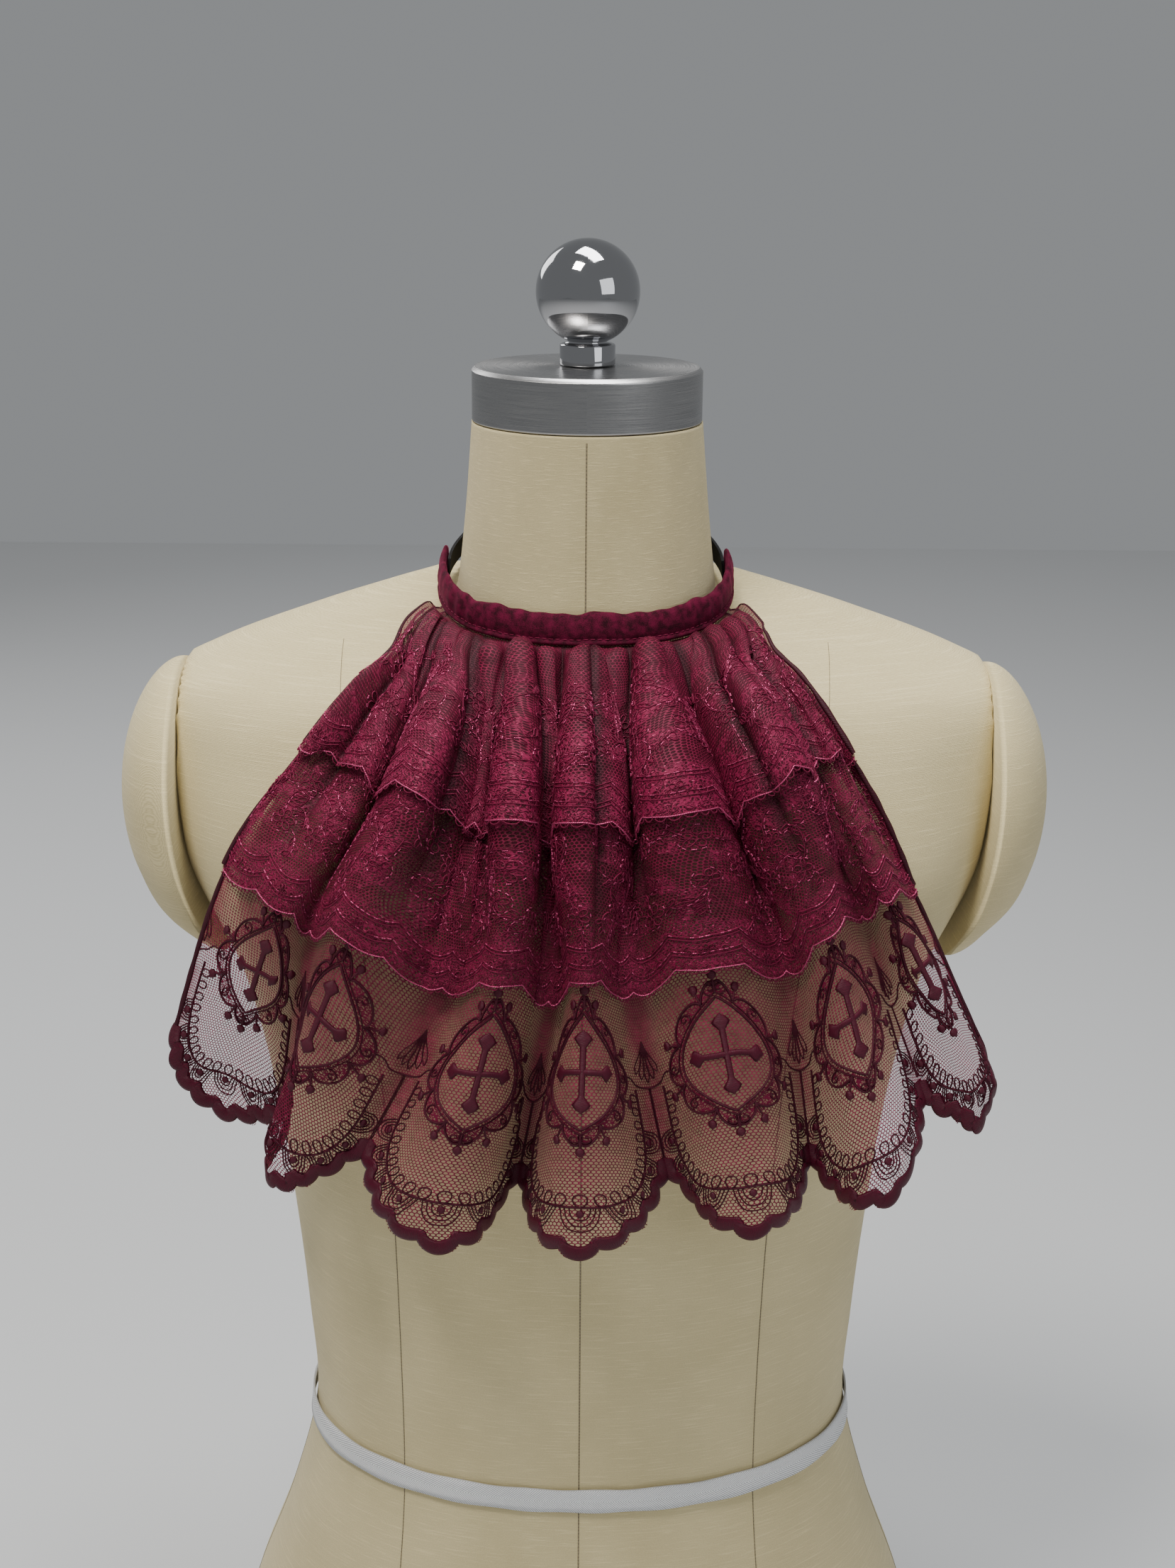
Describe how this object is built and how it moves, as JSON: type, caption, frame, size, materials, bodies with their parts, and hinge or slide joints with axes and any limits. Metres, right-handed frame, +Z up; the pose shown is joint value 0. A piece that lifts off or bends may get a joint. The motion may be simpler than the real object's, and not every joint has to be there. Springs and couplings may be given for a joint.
{
  "type": "lace bib collar on a dress form",
  "caption": "Tiered lace bib collar gathered to a velvet neckband with an elastic back, worn on a limbless linen dress form with a steel neck cap and a ball finial.",
  "frame": {"origin": "middle of the dress form's flat base, on the axis of its neck", "axes": "+Z up the form, -Y out of its front, +X to the right of someone who faces it"},
  "size_m": [0.408, 0.2595, 0.7154],
  "materials": {
    "linen": "natural linen weave",
    "steel": "brushed",
    "chrome": "polished",
    "velvet": "velvet pile",
    "lace": "embroidered net with a metallic thread",
    "tulle": "open hexagonal net with satin stitch",
    "elastic": "ribbed braid",
    "twill": "herringbone tape"
  },
  "bodies": {
    "root": {"form_torso": "linen", "arm_cap_left": "linen", "arm_cap_right": "linen", "neck_cap": "steel", "ball_finial": "chrome", "waist_tape": "twill", "neckband": "velvet", "neck_elastic": "elastic", "long_tier": "tulle", "middle_tier": "lace", "short_tier": "lace"}
  },
  "joints": []
}
